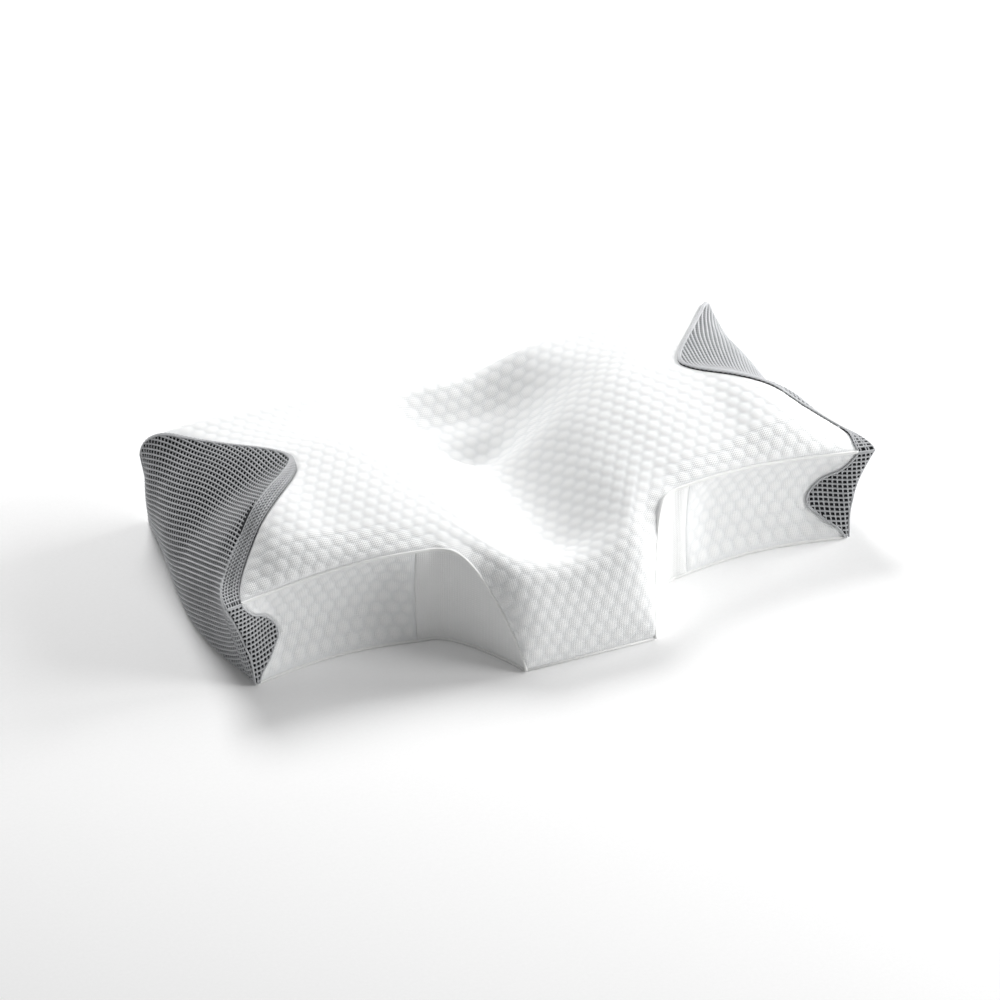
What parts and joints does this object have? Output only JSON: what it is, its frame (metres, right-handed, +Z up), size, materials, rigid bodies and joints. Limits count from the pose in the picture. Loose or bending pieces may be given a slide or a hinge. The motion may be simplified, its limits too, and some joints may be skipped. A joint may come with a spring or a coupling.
{
  "type": "contoured cervical pillow",
  "caption": "Butterfly-shaped foam neck pillow with a neck roll, head hollow and arm recesses, in a zipped knit cover with air-mesh sides.",
  "frame": {"origin": "on the flat underside, in the middle of the plan box", "axes": "+X along the pillow from wing to wing, -Y towards the neck tongue and the user's shoulders, +Z up out of the resting face"},
  "size_m": [0.6, 0.3459, 0.1217],
  "materials": {
    "foam": "slow-recovery polyurethane foam, matt",
    "liner_knit": "thin white jersey",
    "quilted_knit": "white jacquard knit with hexagon cells, matt",
    "plain_knit": "smooth white knit, matt",
    "air_mesh": "grey three-layer spacer mesh",
    "base_knit": "white flat knit, matt",
    "welt": "white piping",
    "zip_tape": "woven polyester tape",
    "zip_coil": "nylon monofilament coil",
    "zip_metal": "plated zinc, satin"
  },
  "bodies": {
    "pillow": {"foam_core": "foam", "liner_body": "liner_knit", "liner_base": "liner_knit", "cover_top": "quilted_knit", "cover_base": "base_knit", "front_band_left": "quilted_knit", "front_band_right": "quilted_knit", "arch_gusset_left": "plain_knit", "arch_gusset_right": "plain_knit", "mesh_side_left": "air_mesh", "mesh_side_right": "air_mesh", "rear_band_upper": "quilted_knit", "rear_band_lower": "quilted_knit", "front_welt_left": "welt", "front_welt_right": "welt", "base_welt": "welt", "zipper_tape_upper": "zip_tape", "zipper_tape_lower": "zip_tape", "zipper_coil_upper": "zip_coil", "zipper_coil_lower": "zip_coil", "zipper_top_stop_upper": "zip_metal", "zipper_top_stop_lower": "zip_metal", "zipper_bottom_stop": "zip_metal"},
    "slider": {"zipper_slider": "zip_metal"},
    "pull": {"zipper_pull": "zip_metal"}
  },
  "joints": [
    {"name": "zipper_slide", "type": "slide", "parent": "pillow", "child": "slider", "axis": [-1, 0, 0], "range_m": [0, 0.366]},
    {"name": "pull_swing", "type": "hinge", "parent": "slider", "child": "pull", "pos_m": [0.1854, 0.1708, 0.03], "axis": [0, 0, -1], "range_deg": [0, 165]}
  ]
}
